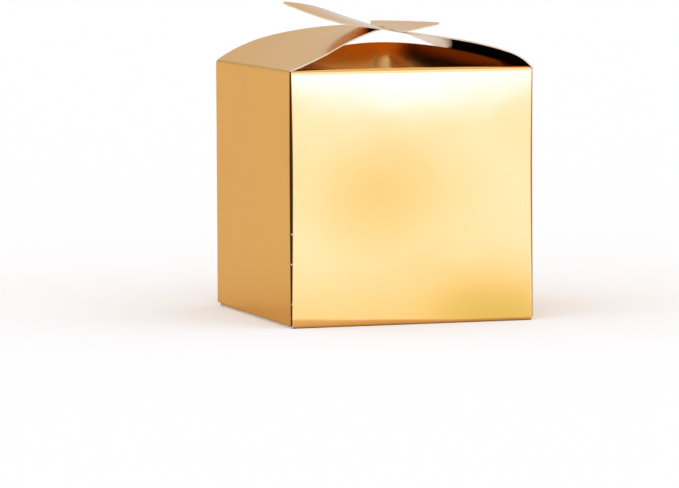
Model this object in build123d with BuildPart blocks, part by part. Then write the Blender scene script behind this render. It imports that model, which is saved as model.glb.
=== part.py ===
from build123d import *

import os
from math import cos, radians, sin

# Cube favor box of foil-faced board, closed on top by two petals slotted into each other.
# Millimetres: +X is the right wall, +Y the back wall, +Z up, and the origin is the centre of the base.
# Each panel of the folded blank, from one scored fold to the next, is a solid of its own.

# Board and box
BOARD = 0.4
BOX_WIDTH = 76.0
BOX_DEPTH = 76.0
BOX_HEIGHT = 76.0
BEND_RADIUS = 1.0
FOLD_CLEARANCE = 0.06
LAYER_GAP = 0.12

# Closing petals on the left and right walls: where they cross, and how they bow up from their folds
PETAL_SIDE_GAP = 0.6
SHOULDER_REACH = 9.0
SHOULDER_RADIUS = 17.5
WAIST_HALF_WIDTH = 7.0
CROSSING_X = 2.0
CROSSING_RISE = 11.1
SLOT_WIDTH = 4.6
SLOT_OVERRUN = 0.4
LEFT_LIFT_ANGLE = 28.2
RIGHT_LIFT_ANGLE = 48.2
RIGHT_HIP_REACH = 6.5
RIGHT_HIP_RISE = 4.45
RIGHT_CROWN_REACH = 26.6
RIGHT_CROWN_RISE = 9.45

# Wings, the ends of the petals past their slots, measured from the crossing
LEFT_WING_LENGTH = 19.5
LEFT_WING_RISE = 0.8
LEFT_BELLY_REACH = 3.5
LEFT_BELLY_HALF_WIDTH = 14.6
LEFT_BELLY_RADIUS = 2.0
RIGHT_WING_LENGTH = 30.0
RIGHT_WING_RISE = 7.7
RIGHT_BELLY_REACH = 14.1
RIGHT_BELLY_HALF_WIDTH = 13.2
RIGHT_BELLY_RADIUS = 7.0
WING_TIP_RADIUS = 4.0

# Round dust flaps under the petals, on the front and back walls, flared out at the foot
DUST_FLAP_FOOT_INSET = 1.5
DUST_FLAP_SHOULDER_INSET = 6.8
DUST_FLAP_SHOULDER_DEPTH = 7.6
DUST_FLAP_DEPTH = 31.0
FRONT_FLAP_LIFT_ANGLE = 16.5
FRONT_FLAP_RISE = 6.6
BACK_FLAP_LIFT_ANGLE = 3.0
BACK_FLAP_RISE = 0.8

# Glued seam inside the left wall
TAB_WIDTH = 12.0
TAB_END_INSET = 3.0
GLUE_THICKNESS = 0.1
GLUE_WIDTH = 8.0

# Base: a panel on the front wall whose tab tucks in along the back wall, over two dust flaps
PANEL_SIDE_GAP = 0.8
PANEL_BACK_GAP = 0.6
TUCK_HEIGHT = 14.0
TUCK_LEAN = 6.0
TUCK_SIDE_INSET = 3.0
TUCK_CORNER_RADIUS = 8.0
FOLD_BEVEL = 0.4
BASE_FLAP_REACH = 29.0
BASE_FLAP_FRONT_INSET = 2.0
BASE_FLAP_BACK_INSET = 4.5
BASE_FLAP_FRONT_TAPER = 28.0
BASE_FLAP_BACK_TAPER = 7.0
BASE_FLAP_CORNER_RADIUS = 3.0

# Where things stand; every fold line runs through the middle of the board
HALF_BOARD = BOARD / 2
HALF_WIDTH = BOX_WIDTH / 2
HALF_DEPTH = BOX_DEPTH / 2
SIDE_FOLD_X = HALF_WIDTH - HALF_BOARD
END_FOLD_Y = HALF_DEPTH - HALF_BOARD
TOP_FOLD_Z = BOX_HEIGHT - HALF_BOARD
PANEL_FOLD_Z = HALF_BOARD
BASE_FLAP_FOLD_Z = PANEL_FOLD_Z + BOARD + LAYER_GAP
TUCK_FOLD_Y = HALF_DEPTH - BOARD - PANEL_BACK_GAP - HALF_BOARD
WALL_TOP = TOP_FOLD_Z - HALF_BOARD - FOLD_CLEARANCE
FRONT_WALL_FOOT = PANEL_FOLD_Z + HALF_BOARD + FOLD_CLEARANCE
SIDE_WALL_FOOT = BASE_FLAP_FOLD_Z + HALF_BOARD + FOLD_CLEARANCE
CORNER_X = HALF_WIDTH - BEND_RADIUS
CORNER_Y = HALF_DEPTH - BEND_RADIUS
BEND_LINE = BEND_RADIUS - HALF_BOARD
TAB_X = -HALF_WIDTH + BOARD + GLUE_THICKNESS
TAB_CORNER_X = TAB_X + BEND_RADIUS
TAB_FOOT = SIDE_WALL_FOOT + TAB_END_INSET
TAB_HEIGHT = WALL_TOP - TAB_END_INSET - TAB_FOOT
CROSSING_Z = TOP_FOLD_Z + CROSSING_RISE
CROSSING = (CROSSING_X, CROSSING_Z)
PETAL_HALF_WIDTH = HALF_DEPTH - PETAL_SIDE_GAP
DUST_FOOT_X = HALF_WIDTH - DUST_FLAP_FOOT_INSET
DUST_SHOULDER_X = HALF_WIDTH - DUST_FLAP_SHOULDER_INSET
DUST_SHOULDER_Y = END_FOLD_Y - DUST_FLAP_SHOULDER_DEPTH
DUST_TIP_Y = END_FOLD_Y - DUST_FLAP_DEPTH
ABOVE_ALL = CROSSING_Z + BOX_HEIGHT

os.makedirs("parts", exist_ok=True)

# Walls, upright between the rounded corners
with BuildPart() as front_wall:
    with BuildSketch(Plane.XY.offset(FRONT_WALL_FOOT)):
        with Locations((0, -END_FOLD_Y)):
            Rectangle(2 * CORNER_X, BOARD)
    extrude(amount=WALL_TOP - FRONT_WALL_FOOT)
front_wall.part.label = "front_wall"
export_step(front_wall.part, "parts/front_wall.step")

with BuildPart() as right_wall:
    with BuildSketch(Plane.XY.offset(SIDE_WALL_FOOT)):
        with Locations((SIDE_FOLD_X, 0)):
            Rectangle(BOARD, 2 * CORNER_Y)
    extrude(amount=WALL_TOP - SIDE_WALL_FOOT)
right_wall.part.label = "right_wall"
export_step(right_wall.part, "parts/right_wall.step")

with BuildPart() as back_wall:
    with BuildSketch(Plane.XY):
        with Locations(((TAB_CORNER_X + CORNER_X) / 2, END_FOLD_Y)):
            Rectangle(CORNER_X - TAB_CORNER_X, BOARD)
    extrude(amount=WALL_TOP)
back_wall.part.label = "back_wall"
export_step(back_wall.part, "parts/back_wall.step")

# The left wall is the free end of the blank, and its raw edge lies along the back left corner
with BuildPart() as left_wall:
    with BuildSketch(Plane.XY.offset(SIDE_WALL_FOOT)):
        with Locations((-SIDE_FOLD_X, (HALF_DEPTH - CORNER_Y) / 2)):
            Rectangle(BOARD, HALF_DEPTH + CORNER_Y)
    extrude(amount=WALL_TOP - SIDE_WALL_FOOT)
left_wall.part.label = "left_wall"
export_step(left_wall.part, "parts/left_wall.step")

# Corner creases, quarter rounds of bent board
with BuildPart() as front_left_crease:
    with BuildSketch(Plane.XY.offset(SIDE_WALL_FOOT)):
        with BuildLine():
            CenterArc((-CORNER_X, -CORNER_Y), BEND_LINE, 180, 90)
        trace(line_width=BOARD)
    extrude(amount=WALL_TOP - SIDE_WALL_FOOT)
front_left_crease.part.label = "front_left_crease"
export_step(front_left_crease.part, "parts/front_left_crease.step")

with BuildPart() as front_right_crease:
    with BuildSketch(Plane.XY.offset(SIDE_WALL_FOOT)):
        with BuildLine():
            CenterArc((CORNER_X, -CORNER_Y), BEND_LINE, 270, 90)
        trace(line_width=BOARD)
    extrude(amount=WALL_TOP - SIDE_WALL_FOOT)
front_right_crease.part.label = "front_right_crease"
export_step(front_right_crease.part, "parts/front_right_crease.step")

with BuildPart() as back_right_crease:
    with BuildSketch(Plane.XY.offset(SIDE_WALL_FOOT)):
        with BuildLine():
            CenterArc((CORNER_X, CORNER_Y), BEND_LINE, 0, 90)
        trace(line_width=BOARD)
    extrude(amount=WALL_TOP - SIDE_WALL_FOOT)
back_right_crease.part.label = "back_right_crease"
export_step(back_right_crease.part, "parts/back_right_crease.step")

# The back left crease turns the back wall into the glue tab, so it is as tall as the tab
with BuildPart() as back_left_crease:
    with BuildSketch(Plane.XY.offset(TAB_FOOT)):
        with BuildLine():
            CenterArc((TAB_CORNER_X, CORNER_Y), BEND_LINE, 90, 90)
        trace(line_width=BOARD)
    extrude(amount=TAB_HEIGHT)
back_left_crease.part.label = "back_left_crease"
export_step(back_left_crease.part, "parts/back_left_crease.step")

with BuildPart() as glue_tab:
    with BuildSketch(Plane.XY.offset(TAB_FOOT)):
        with Locations((TAB_X + HALF_BOARD, CORNER_Y - TAB_WIDTH / 2)):
            Rectangle(BOARD, TAB_WIDTH)
    extrude(amount=TAB_HEIGHT)
glue_tab.part.label = "glue_tab"
export_step(glue_tab.part, "parts/glue_tab.step")

with BuildPart() as seam_adhesive:
    with BuildSketch(Plane.XY.offset(TAB_FOOT)):
        with Locations((TAB_X - GLUE_THICKNESS / 2, CORNER_Y - TAB_WIDTH / 2)):
            Rectangle(GLUE_THICKNESS, GLUE_WIDTH)
    extrude(amount=TAB_HEIGHT)
seam_adhesive.part.label = "seam_adhesive"
export_step(seam_adhesive.part, "parts/seam_adhesive.step")

# Left petal: one bow up to the crossing, then a wing that lies nearly level; its slot opens to the front
with BuildPart() as left_sheet:
    with BuildSketch(Plane.XZ):
        with BuildLine():
            left_bow = TangentArc(
                (-SIDE_FOLD_X, TOP_FOLD_Z),
                CROSSING,
                tangent=(cos(radians(LEFT_LIFT_ANGLE)), sin(radians(LEFT_LIFT_ANGLE))),
            )
            TangentArc(
                CROSSING,
                (CROSSING_X + LEFT_WING_LENGTH, CROSSING_Z + LEFT_WING_RISE),
                tangent=left_bow % 1,
            )
        trace(line_width=BOARD)
        with Locations(left_bow @ 0):
            Circle(HALF_BOARD)
    extrude(amount=HALF_DEPTH, both=True)
    with BuildSketch(Plane.XY):
        with BuildLine():
            FilletPolyline(
                (-HALF_WIDTH - BOARD, PETAL_HALF_WIDTH),
                (-HALF_WIDTH + SHOULDER_REACH, PETAL_HALF_WIDTH),
                (CROSSING_X - SLOT_WIDTH / 2, WAIST_HALF_WIDTH),
                (CROSSING_X, WAIST_HALF_WIDTH),
                (CROSSING_X + LEFT_BELLY_REACH, LEFT_BELLY_HALF_WIDTH),
                (CROSSING_X + LEFT_WING_LENGTH, 0),
                (CROSSING_X + LEFT_BELLY_REACH, -LEFT_BELLY_HALF_WIDTH),
                (CROSSING_X, -WAIST_HALF_WIDTH),
                (CROSSING_X - SLOT_WIDTH / 2, -WAIST_HALF_WIDTH),
                (-HALF_WIDTH + SHOULDER_REACH, -PETAL_HALF_WIDTH),
                (-HALF_WIDTH - BOARD, -PETAL_HALF_WIDTH),
                radius=[
                    0,
                    SHOULDER_RADIUS,
                    0,
                    0,
                    LEFT_BELLY_RADIUS,
                    WING_TIP_RADIUS,
                    LEFT_BELLY_RADIUS,
                    0,
                    0,
                    SHOULDER_RADIUS,
                    0,
                ],
                close=True,
            )
        make_face()
    extrude(amount=ABOVE_ALL, mode=Mode.INTERSECT)
    with BuildSketch(Plane.XY):
        with Locations((CROSSING_X, (SLOT_OVERRUN - HALF_DEPTH) / 2)):
            Rectangle(SLOT_WIDTH, HALF_DEPTH + SLOT_OVERRUN)
    extrude(amount=ABOVE_ALL, mode=Mode.SUBTRACT)

with BuildPart() as left_petal:
    add(left_sheet.part)
    split(bisect_by=Plane.YZ.offset(CROSSING_X), keep=Keep.BOTTOM)
left_petal.part.label = "left_petal"
export_step(left_petal.part, "parts/left_petal.step")

with BuildPart() as left_petal_wing:
    add(left_sheet.part)
    split(bisect_by=Plane.YZ.offset(CROSSING_X), keep=Keep.TOP)
left_petal_wing.part.label = "left_petal_wing"
export_step(left_petal_wing.part, "parts/left_petal_wing.step")

# Right petal: steep at its hip, flatter at its crown, then rising through the crossing; its slot opens back
with BuildPart() as right_sheet:
    with BuildSketch(Plane.XZ):
        with BuildLine():
            right_hip = TangentArc(
                (SIDE_FOLD_X, TOP_FOLD_Z),
                (SIDE_FOLD_X - RIGHT_HIP_REACH, TOP_FOLD_Z + RIGHT_HIP_RISE),
                tangent=(-cos(radians(RIGHT_LIFT_ANGLE)), sin(radians(RIGHT_LIFT_ANGLE))),
            )
            right_bow = TangentArc(
                right_hip @ 1,
                (SIDE_FOLD_X - RIGHT_CROWN_REACH, TOP_FOLD_Z + RIGHT_CROWN_RISE),
                tangent=right_hip % 1,
            )
            right_rise = TangentArc(right_bow @ 1, CROSSING, tangent=right_bow % 1)
            TangentArc(
                CROSSING,
                (CROSSING_X - RIGHT_WING_LENGTH, CROSSING_Z + RIGHT_WING_RISE),
                tangent=right_rise % 1,
            )
        trace(line_width=BOARD)
        with Locations(right_hip @ 0):
            Circle(HALF_BOARD)
    extrude(amount=HALF_DEPTH, both=True)
    with BuildSketch(Plane.XY):
        with BuildLine():
            FilletPolyline(
                (HALF_WIDTH + BOARD, PETAL_HALF_WIDTH),
                (HALF_WIDTH - SHOULDER_REACH, PETAL_HALF_WIDTH),
                (CROSSING_X + SLOT_WIDTH / 2, WAIST_HALF_WIDTH),
                (CROSSING_X, WAIST_HALF_WIDTH),
                (CROSSING_X - RIGHT_BELLY_REACH, RIGHT_BELLY_HALF_WIDTH),
                (CROSSING_X - RIGHT_WING_LENGTH, 0),
                (CROSSING_X - RIGHT_BELLY_REACH, -RIGHT_BELLY_HALF_WIDTH),
                (CROSSING_X, -WAIST_HALF_WIDTH),
                (CROSSING_X + SLOT_WIDTH / 2, -WAIST_HALF_WIDTH),
                (HALF_WIDTH - SHOULDER_REACH, -PETAL_HALF_WIDTH),
                (HALF_WIDTH + BOARD, -PETAL_HALF_WIDTH),
                radius=[
                    0,
                    SHOULDER_RADIUS,
                    0,
                    0,
                    RIGHT_BELLY_RADIUS,
                    WING_TIP_RADIUS,
                    RIGHT_BELLY_RADIUS,
                    0,
                    0,
                    SHOULDER_RADIUS,
                    0,
                ],
                close=True,
            )
        make_face()
    extrude(amount=ABOVE_ALL, mode=Mode.INTERSECT)
    with BuildSketch(Plane.XY):
        with Locations((CROSSING_X, (HALF_DEPTH - SLOT_OVERRUN) / 2)):
            Rectangle(SLOT_WIDTH, HALF_DEPTH + SLOT_OVERRUN)
    extrude(amount=ABOVE_ALL, mode=Mode.SUBTRACT)

with BuildPart() as right_petal:
    add(right_sheet.part)
    split(bisect_by=Plane.YZ.offset(CROSSING_X), keep=Keep.TOP)
right_petal.part.label = "right_petal"
export_step(right_petal.part, "parts/right_petal.step")

with BuildPart() as right_petal_wing:
    add(right_sheet.part)
    split(bisect_by=Plane.YZ.offset(CROSSING_X), keep=Keep.BOTTOM)
right_petal_wing.part.label = "right_petal_wing"
export_step(right_petal_wing.part, "parts/right_petal_wing.step")

# Front dust flap, bowed up and inwards from the front wall under both petals
with BuildPart() as front_dust_flap:
    with BuildSketch(Plane.YZ):
        with BuildLine():
            front_bow = TangentArc(
                (-END_FOLD_Y, TOP_FOLD_Z),
                (-DUST_TIP_Y, TOP_FOLD_Z + FRONT_FLAP_RISE),
                tangent=(cos(radians(FRONT_FLAP_LIFT_ANGLE)), sin(radians(FRONT_FLAP_LIFT_ANGLE))),
            )
        trace(line_width=BOARD)
        with Locations(front_bow @ 0):
            Circle(HALF_BOARD)
    extrude(amount=HALF_WIDTH, both=True)
    with BuildSketch(Plane.XY):
        with BuildLine():
            front_edge = ThreePointArc(
                (-DUST_SHOULDER_X, -DUST_SHOULDER_Y),
                (0, -DUST_TIP_Y),
                (DUST_SHOULDER_X, -DUST_SHOULDER_Y),
            )
            Polyline(
                front_edge @ 1,
                (DUST_FOOT_X, -END_FOLD_Y),
                (DUST_FOOT_X, -HALF_DEPTH - BOARD),
                (-DUST_FOOT_X, -HALF_DEPTH - BOARD),
                (-DUST_FOOT_X, -END_FOLD_Y),
                front_edge @ 0,
            )
        make_face()
    extrude(amount=ABOVE_ALL, mode=Mode.INTERSECT)
front_dust_flap.part.label = "front_dust_flap"
export_step(front_dust_flap.part, "parts/front_dust_flap.step")

# Back dust flap, the same outline but lying lower
with BuildPart() as back_dust_flap:
    with BuildSketch(Plane.YZ):
        with BuildLine():
            back_bow = TangentArc(
                (END_FOLD_Y, TOP_FOLD_Z),
                (DUST_TIP_Y, TOP_FOLD_Z + BACK_FLAP_RISE),
                tangent=(-cos(radians(BACK_FLAP_LIFT_ANGLE)), sin(radians(BACK_FLAP_LIFT_ANGLE))),
            )
        trace(line_width=BOARD)
        with Locations(back_bow @ 0):
            Circle(HALF_BOARD)
    extrude(amount=HALF_WIDTH, both=True)
    with BuildSketch(Plane.XY):
        with BuildLine():
            back_edge = ThreePointArc(
                (-DUST_SHOULDER_X, DUST_SHOULDER_Y),
                (0, DUST_TIP_Y),
                (DUST_SHOULDER_X, DUST_SHOULDER_Y),
            )
            Polyline(
                back_edge @ 1,
                (DUST_FOOT_X, END_FOLD_Y),
                (DUST_FOOT_X, HALF_DEPTH + BOARD),
                (-DUST_FOOT_X, HALF_DEPTH + BOARD),
                (-DUST_FOOT_X, END_FOLD_Y),
                back_edge @ 0,
            )
        make_face()
    extrude(amount=ABOVE_ALL, mode=Mode.INTERSECT)
back_dust_flap.part.label = "back_dust_flap"
export_step(back_dust_flap.part, "parts/back_dust_flap.step")

# Bottom panel, folded in from the front wall; its far edge is bevelled where the tab folds over it
PANEL_BACK_Y = TUCK_FOLD_Y - HALF_BOARD - FOLD_CLEARANCE
with BuildPart() as bottom_panel:
    with BuildSketch(Plane.YZ):
        with BuildLine():
            Polyline(
                (-END_FOLD_Y, 0),
                (PANEL_BACK_Y, 0),
                (PANEL_BACK_Y, HALF_BOARD / 2),
                (PANEL_BACK_Y - FOLD_BEVEL, BOARD),
                (-END_FOLD_Y, BOARD),
                close=True,
            )
        make_face()
        with Locations((-END_FOLD_Y, PANEL_FOLD_Z)):
            Circle(HALF_BOARD)
    extrude(amount=HALF_WIDTH - PANEL_SIDE_GAP, both=True)
bottom_panel.part.label = "bottom_panel"
export_step(bottom_panel.part, "parts/bottom_panel.step")

# Tuck tab, standing up from the panel's far edge and leaning in from the back wall
TUCK_PLANE = Plane(
    origin=(0, TUCK_FOLD_Y, PANEL_FOLD_Z),
    x_dir=(1, 0, 0),
    z_dir=(0, -cos(radians(TUCK_LEAN)), -sin(radians(TUCK_LEAN))),
)
TUCK_HALF_WIDTH = HALF_WIDTH - PANEL_SIDE_GAP - TUCK_SIDE_INSET
with BuildPart() as tuck_tab:
    with BuildSketch(TUCK_PLANE):
        with BuildLine():
            FilletPolyline(
                (-TUCK_HALF_WIDTH, 0),
                (-TUCK_HALF_WIDTH, TUCK_HEIGHT),
                (TUCK_HALF_WIDTH, TUCK_HEIGHT),
                (TUCK_HALF_WIDTH, 0),
                radius=[0, TUCK_CORNER_RADIUS, TUCK_CORNER_RADIUS, 0],
                close=True,
            )
        make_face()
    extrude(amount=HALF_BOARD, both=True)
    with BuildSketch(Plane.YZ):
        with Locations((TUCK_FOLD_Y, PANEL_FOLD_Z)):
            Circle(HALF_BOARD)
    extrude(amount=TUCK_HALF_WIDTH, both=True)
tuck_tab.part.label = "tuck_tab"
export_step(tuck_tab.part, "parts/tuck_tab.step")

# Bottom dust flaps, folded in from the side walls over the panel
BASE_FLAP_TIP_X = -SIDE_FOLD_X + BASE_FLAP_REACH
with BuildPart() as bottom_left_dust_flap:
    with BuildSketch(Plane.XY.offset(BASE_FLAP_FOLD_Z - HALF_BOARD)):
        with BuildLine():
            FilletPolyline(
                (-SIDE_FOLD_X, -HALF_DEPTH + BASE_FLAP_FRONT_INSET),
                (BASE_FLAP_TIP_X, -HALF_DEPTH + BASE_FLAP_FRONT_INSET + BASE_FLAP_FRONT_TAPER),
                (BASE_FLAP_TIP_X, HALF_DEPTH - BASE_FLAP_BACK_INSET - BASE_FLAP_BACK_TAPER),
                (-SIDE_FOLD_X, HALF_DEPTH - BASE_FLAP_BACK_INSET),
                radius=[0, BASE_FLAP_CORNER_RADIUS, BASE_FLAP_CORNER_RADIUS, 0],
                close=True,
            )
        make_face()
    extrude(amount=BOARD)
    with BuildSketch(Plane.XZ.offset(-HALF_DEPTH + BASE_FLAP_BACK_INSET)):
        with Locations((-SIDE_FOLD_X, BASE_FLAP_FOLD_Z)):
            Circle(HALF_BOARD)
    extrude(amount=BOX_DEPTH - BASE_FLAP_FRONT_INSET - BASE_FLAP_BACK_INSET)
bottom_left_dust_flap.part.label = "bottom_left_dust_flap"
export_step(bottom_left_dust_flap.part, "parts/bottom_left_dust_flap.step")

with BuildPart() as bottom_right_dust_flap:
    add(bottom_left_dust_flap.part.mirror(Plane.YZ))
bottom_right_dust_flap.part.label = "bottom_right_dust_flap"
export_step(bottom_right_dust_flap.part, "parts/bottom_right_dust_flap.step")
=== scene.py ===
"""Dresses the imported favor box: folded foil board over the CAD frame, studio light and camera."""

from __future__ import annotations

import logging
import math
from dataclasses import dataclass
from enum import Enum

import bmesh
import bpy
from mathutils import Matrix, Vector

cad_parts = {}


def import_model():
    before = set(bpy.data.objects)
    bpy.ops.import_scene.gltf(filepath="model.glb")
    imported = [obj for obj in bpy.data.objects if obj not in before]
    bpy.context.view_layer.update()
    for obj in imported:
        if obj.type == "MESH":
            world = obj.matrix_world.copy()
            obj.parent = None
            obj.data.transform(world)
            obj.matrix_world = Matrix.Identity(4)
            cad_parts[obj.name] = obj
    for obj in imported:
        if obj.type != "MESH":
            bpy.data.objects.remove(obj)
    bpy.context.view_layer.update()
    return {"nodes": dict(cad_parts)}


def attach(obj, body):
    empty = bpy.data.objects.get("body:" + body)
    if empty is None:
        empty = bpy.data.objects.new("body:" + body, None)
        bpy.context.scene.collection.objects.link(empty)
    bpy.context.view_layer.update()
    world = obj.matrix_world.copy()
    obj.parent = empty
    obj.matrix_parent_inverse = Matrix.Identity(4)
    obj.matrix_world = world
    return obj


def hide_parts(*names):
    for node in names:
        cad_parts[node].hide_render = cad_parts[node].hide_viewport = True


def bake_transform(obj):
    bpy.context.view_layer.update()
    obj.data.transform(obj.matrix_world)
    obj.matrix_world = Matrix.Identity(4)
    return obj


log = logging.getLogger("favor_box")

# Metres in a millimetre, then the board's thickness and the strip of wall on each flap in mm
MM = 0.001
BOARD = 0.4
WALL_STRIP = 1.2

# A turn below this, in radians, is straight, and points nearer than this, in metres, are one
STRAIGHT = 1e-6
SAME_PLACE = 1e-7

# Sockets of a colour Mix node: its two colours, and its result among the outputs
MIX_A = 6
MIX_B = 7
MIX_OUT = 2

X_AXIS = Vector((1, 0, 0))
Y_AXIS = Vector((0, 1, 0))
Z_AXIS = Vector((0, 0, 1))

Shade = tuple[float, float, float, float]


def linear(code: str) -> Shade:
    """Turns an sRGB hex colour into linear light.

    Args:
        code: Six hex digits with a leading hash.

    Returns:
        Linear red, green and blue, with an alpha of one.
    """
    channels = [int(code[i : i + 2], 16) / 255 for i in (1, 3, 5)]
    light = [c / 12.92 if c <= 0.04045 else ((c + 0.055) / 1.055) ** 2.4 for c in channels]
    return (light[0], light[1], light[2], 1.0)


def add_node(
    tree: bpy.types.NodeTree,
    kind: str,
    settings: dict[str, object] | None = None,
    inputs: dict[str | int, object] | None = None,
) -> bpy.types.Node:
    """Adds a node, sets its options, and fills or links its inputs.

    Args:
        tree: The node tree that gets the node.
        kind: The node's type name.
        settings: Options of the node itself, by name.
        inputs: Values or sockets for its inputs, by name or position.

    Returns:
        The new node.
    """
    node = tree.nodes.new(kind)
    for name, value in (settings or {}).items():
        setattr(node, name, value)
    for name, value in (inputs or {}).items():
        if isinstance(value, bpy.types.NodeSocket):
            tree.links.new(value, node.inputs[name])
        else:
            node.inputs[name].default_value = value
    return node


def new_material(name: str) -> tuple[bpy.types.Material, bpy.types.NodeTree]:
    """Makes a material with an empty node tree.

    Args:
        name: The material's name.

    Returns:
        The material and its tree.
    """
    material = bpy.data.materials.new(name)
    material.use_nodes = True
    material.node_tree.nodes.clear()
    return material, material.node_tree


class FoldLine(Enum):
    """The box's scored folds.

    Each gives its middle in mm, the way its flap runs, the way its wall runs up to it, and where its
    middle lies on the flat blank.
    """

    LEFT_TOP = ((-37.8, 0.0, 75.8), (1, 0, 0), (0, 0, 1), (38.0, 75.8))
    FRONT_TOP = ((0.0, -37.8, 75.8), (0, 1, 0), (0, 0, 1), (113.6, 75.8))
    RIGHT_TOP = ((37.8, 0.0, 75.8), (-1, 0, 0), (0, 0, 1), (189.2, 75.8))
    BACK_TOP = ((0.0, 37.8, 75.8), (0, -1, 0), (0, 0, 1), (264.8, 75.8))
    PANEL = ((0.0, -37.8, 0.2), (0, 1, 0), (0, 0, -1), (113.6, 0.2))
    LEFT_BASE = ((-37.8, 0.0, 0.72), (1, 0, 0), (0, 0, -1), (38.0, 0.2))
    RIGHT_BASE = ((37.8, 0.0, 0.72), (-1, 0, 0), (0, 0, -1), (189.2, 0.2))
    TUCK = ((0.0, 36.8, 0.2), (0, 0, 1), (0, 1, 0), (113.6, -74.4))

    @property
    def hinge(self) -> Vector:
        """The fold's middle in metres."""
        return Vector(self.value[0]) * MM

    @property
    def inward(self) -> Vector:
        """The way the flap runs from its fold."""
        return Vector(self.value[1])

    @property
    def away(self) -> Vector:
        """The way the wall runs up to the fold."""
        return Vector(self.value[2])

    @property
    def along(self) -> Vector:
        """The way the fold itself runs."""
        return self.away.cross(self.inward)

    @property
    def blank_turn(self) -> int:
        """Which way the fold runs across the flat blank: -1 at the top, 1 at the base."""
        return -1 if self.away.z > 0 else 1

    def blank_place(self, reach: float, along: float) -> tuple[float, float]:
        """Places a point of a flap on the flat blank.

        Args:
            reach: Distance from the fold in mm.
            along: Distance along the fold in mm.

        Returns:
            The point's place on the blank, in metres.
        """
        across, height = self.value[3]
        turn = self.blank_turn
        return ((across + turn * along) * MM, (height - turn * reach) * MM)

    def place(self) -> Matrix:
        """Gives the matrix from the fold's own frame to the box's frame.

        Returns:
            A matrix whose axes are inward, along and away, at the hinge.
        """
        turned = Matrix((self.inward, self.along, self.away)).transposed().to_4x4()
        return Matrix.Translation(self.hinge) @ turned


@dataclass(frozen=True)
class Bow:
    """Section of a bowed flap: arcs that run on from each other, from a lift angle at the fold.

    The lift is in degrees, and each arc's end is its reach from the fold and its rise over it in mm.
    """

    lift: float
    ends: tuple[tuple[float, float], ...]
    fold_radius: float = 0.5

    def rise(self, reach: float) -> float:
        """Finds how high the flap stands over its fold.

        Args:
            reach: Level distance from the fold in mm.

        Returns:
            Height over the fold in mm.
        """
        heading = math.radians(self.lift)
        start = (0.0, 0.0)
        for end in self.ends:
            across, up = end[0] - start[0], end[1] - start[1]
            chord_heading = math.atan2(up, across)
            turn = heading - chord_heading
            if reach <= end[0] or end is self.ends[-1]:
                break
            heading = chord_heading - turn
            start = end
        if abs(turn) < STRAIGHT:
            return start[1] + (reach - start[0]) * math.tan(heading)
        radius = math.hypot(across, up) / (2 * math.sin(turn))
        centre = (start[0] + radius * math.sin(heading), start[1] - radius * math.cos(heading))
        height = math.sqrt(max(radius**2 - (reach - centre[0]) ** 2, 0.0))
        return centre[1] + math.copysign(height, radius)

    def section(self, reach: float) -> tuple[float, float]:
        """Follows the board from the wall, round the fold and out along the flap.

        Args:
            reach: Distance from the fold in mm, below zero on the wall.

        Returns:
            Distance inward and distance past the fold in mm.
        """
        turn = math.radians(90 - self.lift)
        grip = self.fold_radius * math.tan(turn / 2)
        far = self.fold_radius * (1 - math.cos(turn))
        if reach <= -grip:
            return (0.0, reach)
        if reach >= far:
            return (reach, self.rise(reach))
        angle = turn * (reach + grip) / (far + grip)
        return (self.fold_radius * (1 - math.cos(angle)), self.fold_radius * math.sin(angle) - grip)


@dataclass(frozen=True)
class Twist:
    """A petal's sideways lean in degrees: level at its fold, growing to its crossing and on to its tip.

    The crossing and the tip are reaches in mm, and back is 1 where the fold runs towards the back of the
    box and -1 where it runs towards the front.
    """

    crossing: float
    tip: float
    crossing_lean: float
    tip_lean: float
    growth: float
    back: int

    def rise(self, reach: float, along: float) -> float:
        """Finds how far the leaning sheet stands off its bow.

        Args:
            reach: Distance from the fold in mm.
            along: Distance along the fold in mm.

        Returns:
            The rise in mm.
        """
        if reach <= 0:
            return 0.0
        if reach < self.crossing:
            lean = self.crossing_lean * (reach / self.crossing) ** self.growth
        else:
            share = (reach - self.crossing) / (self.tip - self.crossing)
            lean = self.crossing_lean + (self.tip_lean - self.crossing_lean) * share
        return self.back * along * math.tan(math.radians(lean))


@dataclass(frozen=True)
class Corner:
    """A corner of a flap's flat outline in mm, and the radius it is cut to."""

    reach: float
    along: float
    radius: float = 0.0


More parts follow.
